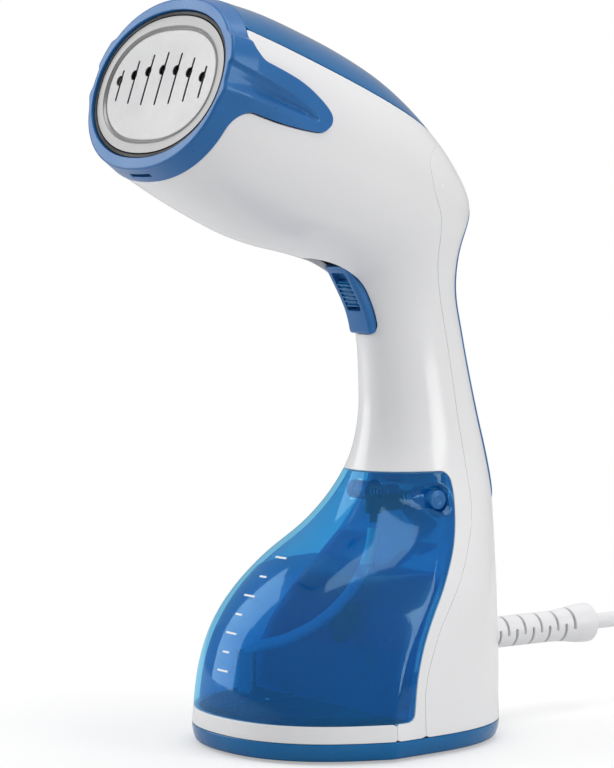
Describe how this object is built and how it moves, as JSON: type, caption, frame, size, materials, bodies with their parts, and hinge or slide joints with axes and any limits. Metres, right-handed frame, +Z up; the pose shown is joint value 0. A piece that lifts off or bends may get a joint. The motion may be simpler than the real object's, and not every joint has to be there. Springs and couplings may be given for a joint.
{
  "type": "handheld garment steamer",
  "caption": "Handheld garment steamer with a wide oval slotted steam head on a curved handle, a detachable translucent water tank and a flared base.",
  "frame": {"origin": "on the floor, under the middle of the base", "axes": "+Z up, the nozzle and the tank face -Y, the cord leaves at +Y, and +X is the object's left side"},
  "size_m": [0.112, 0.2739, 0.3025],
  "materials": {
    "white_plastic": "glossy moulded ABS",
    "blue_plastic": "satin moulded ABS",
    "deep_blue_plastic": "high gloss",
    "tank_plastic": "clear tinted SAN, polished",
    "steel_plate": "fine blasted centre, polished rim",
    "steel_part": "zinc plated",
    "heater_casting": "as cast",
    "seal_rubber": "matte",
    "silicone": "translucent silicone",
    "tube_silicone": "translucent blue silicone",
    "dark_plastic": "glass-filled nylon",
    "grey_plastic": "fine spark texture",
    "coil_copper": "enamelled winding wire",
    "element_sheath": "heat-tinted sheath",
    "circuit_board": "solder mask",
    "wire_sleeve": "silicone sleeve",
    "cord_pvc": "smooth PVC",
    "print_white": "pad print"
  },
  "bodies": {
    "housing": {"base_plate": "deep_blue_plastic", "foot_pads": "seal_rubber", "trim_band": "white_plastic", "front_shell": "white_plastic", "rear_shell": "white_plastic", "rear_grip": "blue_plastic", "top_cover": "deep_blue_plastic", "nozzle_ring": "blue_plastic", "plate_seal": "seal_rubber", "steam_plate": "steel_plate", "heater_block": "heater_casting", "heater_cover": "steel_part", "heating_element": "element_sheath", "heater_screws": "steel_part", "thermostat": "steel_part", "thermal_fuse": "grey_plastic", "pump_body": "dark_plastic", "pump_coil": "coil_copper", "pump_yoke": "steel_part", "pump_spring": "steel_part", "inlet_hose": "silicone", "outlet_hose": "silicone", "control_board": "circuit_board", "wire_harness": "wire_sleeve", "microswitch": "dark_plastic", "trigger_pin": "steel_part", "trigger_spring": "steel_part", "case_screws": "steel_part", "cord_guard": "cord_pvc", "power_cord": "cord_pvc", "cord_clamp": "dark_plastic", "tank_dock": "grey_plastic", "tank_socket": "dark_plastic", "socket_seal": "seal_rubber"},
    "tank": {"tank_shell": "tank_plastic", "tank_back": "tank_plastic", "tank_elbow": "dark_plastic", "suction_tube": "tube_silicone", "suction_weight": "steel_part", "level_marks": "print_white", "button_springs": "steel_part"},
    "trigger": {"trigger": "blue_plastic"},
    "lock_slider": {"trigger_lock": "deep_blue_plastic"},
    "button_left": {"release_button_left": "blue_plastic"},
    "button_right": {"release_button_right": "blue_plastic"},
    "filler_plug": {"filler_plug": "seal_rubber"},
    "pump_piston": {"pump_piston": "steel_part"}
  },
  "joints": [
    {"name": "tank_slide", "type": "slide", "parent": "housing", "child": "tank", "axis": [0, -1, 0], "range_m": [0, 0.12]},
    {"name": "trigger_pull", "type": "hinge", "parent": "housing", "child": "trigger", "pos_m": [0, 0.009, 0.1915], "axis": [1, 0, 0], "range_deg": [0, 8], "deforming": ["trigger_spring"]},
    {"name": "lock_slide", "type": "slide", "parent": "trigger", "child": "lock_slider", "axis": [0, -0.4924, 0.8704], "range_m": [0, 0.003]},
    {"name": "button_left_push", "type": "slide", "parent": "tank", "child": "button_left", "axis": [-1, 0, 0], "range_m": [0, 0.003], "deforming": ["button_springs"]},
    {"name": "button_right_push", "type": "slide", "parent": "tank", "child": "button_right", "axis": [1, 0, 0], "range_m": [0, 0.003], "deforming": ["button_springs"]},
    {"name": "filler_plug_pull", "type": "slide", "parent": "tank", "child": "filler_plug", "axis": [0, 1, 0], "range_m": [0, 0.012]},
    {"name": "piston_stroke", "type": "slide", "parent": "housing", "child": "pump_piston", "axis": [0, 0, 1], "range_m": [0, 0.003], "deforming": ["pump_spring"]}
  ]
}
